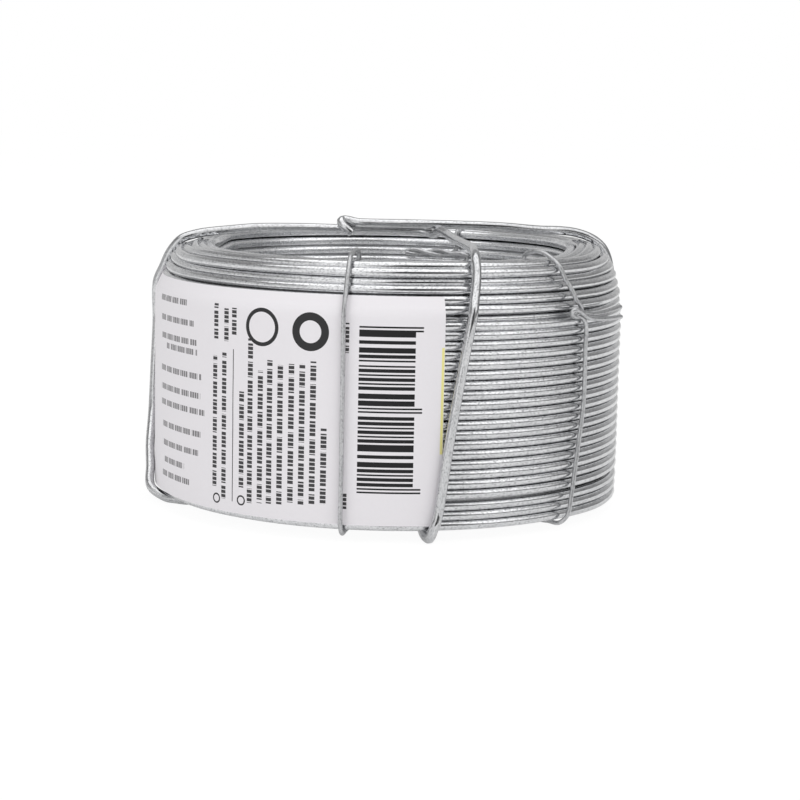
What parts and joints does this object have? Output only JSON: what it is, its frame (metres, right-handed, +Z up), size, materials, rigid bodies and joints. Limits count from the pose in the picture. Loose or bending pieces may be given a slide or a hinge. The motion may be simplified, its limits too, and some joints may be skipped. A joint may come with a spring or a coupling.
{
  "type": "coil of galvanized steel wire",
  "caption": "Short coil of galvanized steel wire with an open bore, a paper label on its side, thin twisted ties round its section and a heavier wire binding it across.",
  "frame": {"origin": "on the axis of the coil's bore, level with the floor that the binding wire under the foot stands on", "axes": "+Z up along the bore, -Y towards the front where the label's right edge and the binding wire's front leg are, +X to the right"},
  "size_m": [0.0792, 0.0801, 0.0466],
  "materials": {
    "coil_wire": "bright galvanized",
    "label_paper": "matt coated",
    "binding_wire": "bright galvanized",
    "tie_wire": "galvanized"
  },
  "bodies": {
    "root": {"wire_coil": "coil_wire", "label": "label_paper", "binding_wire": "binding_wire", "front_tie": "tie_wire", "side_tie": "tie_wire", "back_tie": "tie_wire"}
  },
  "joints": []
}
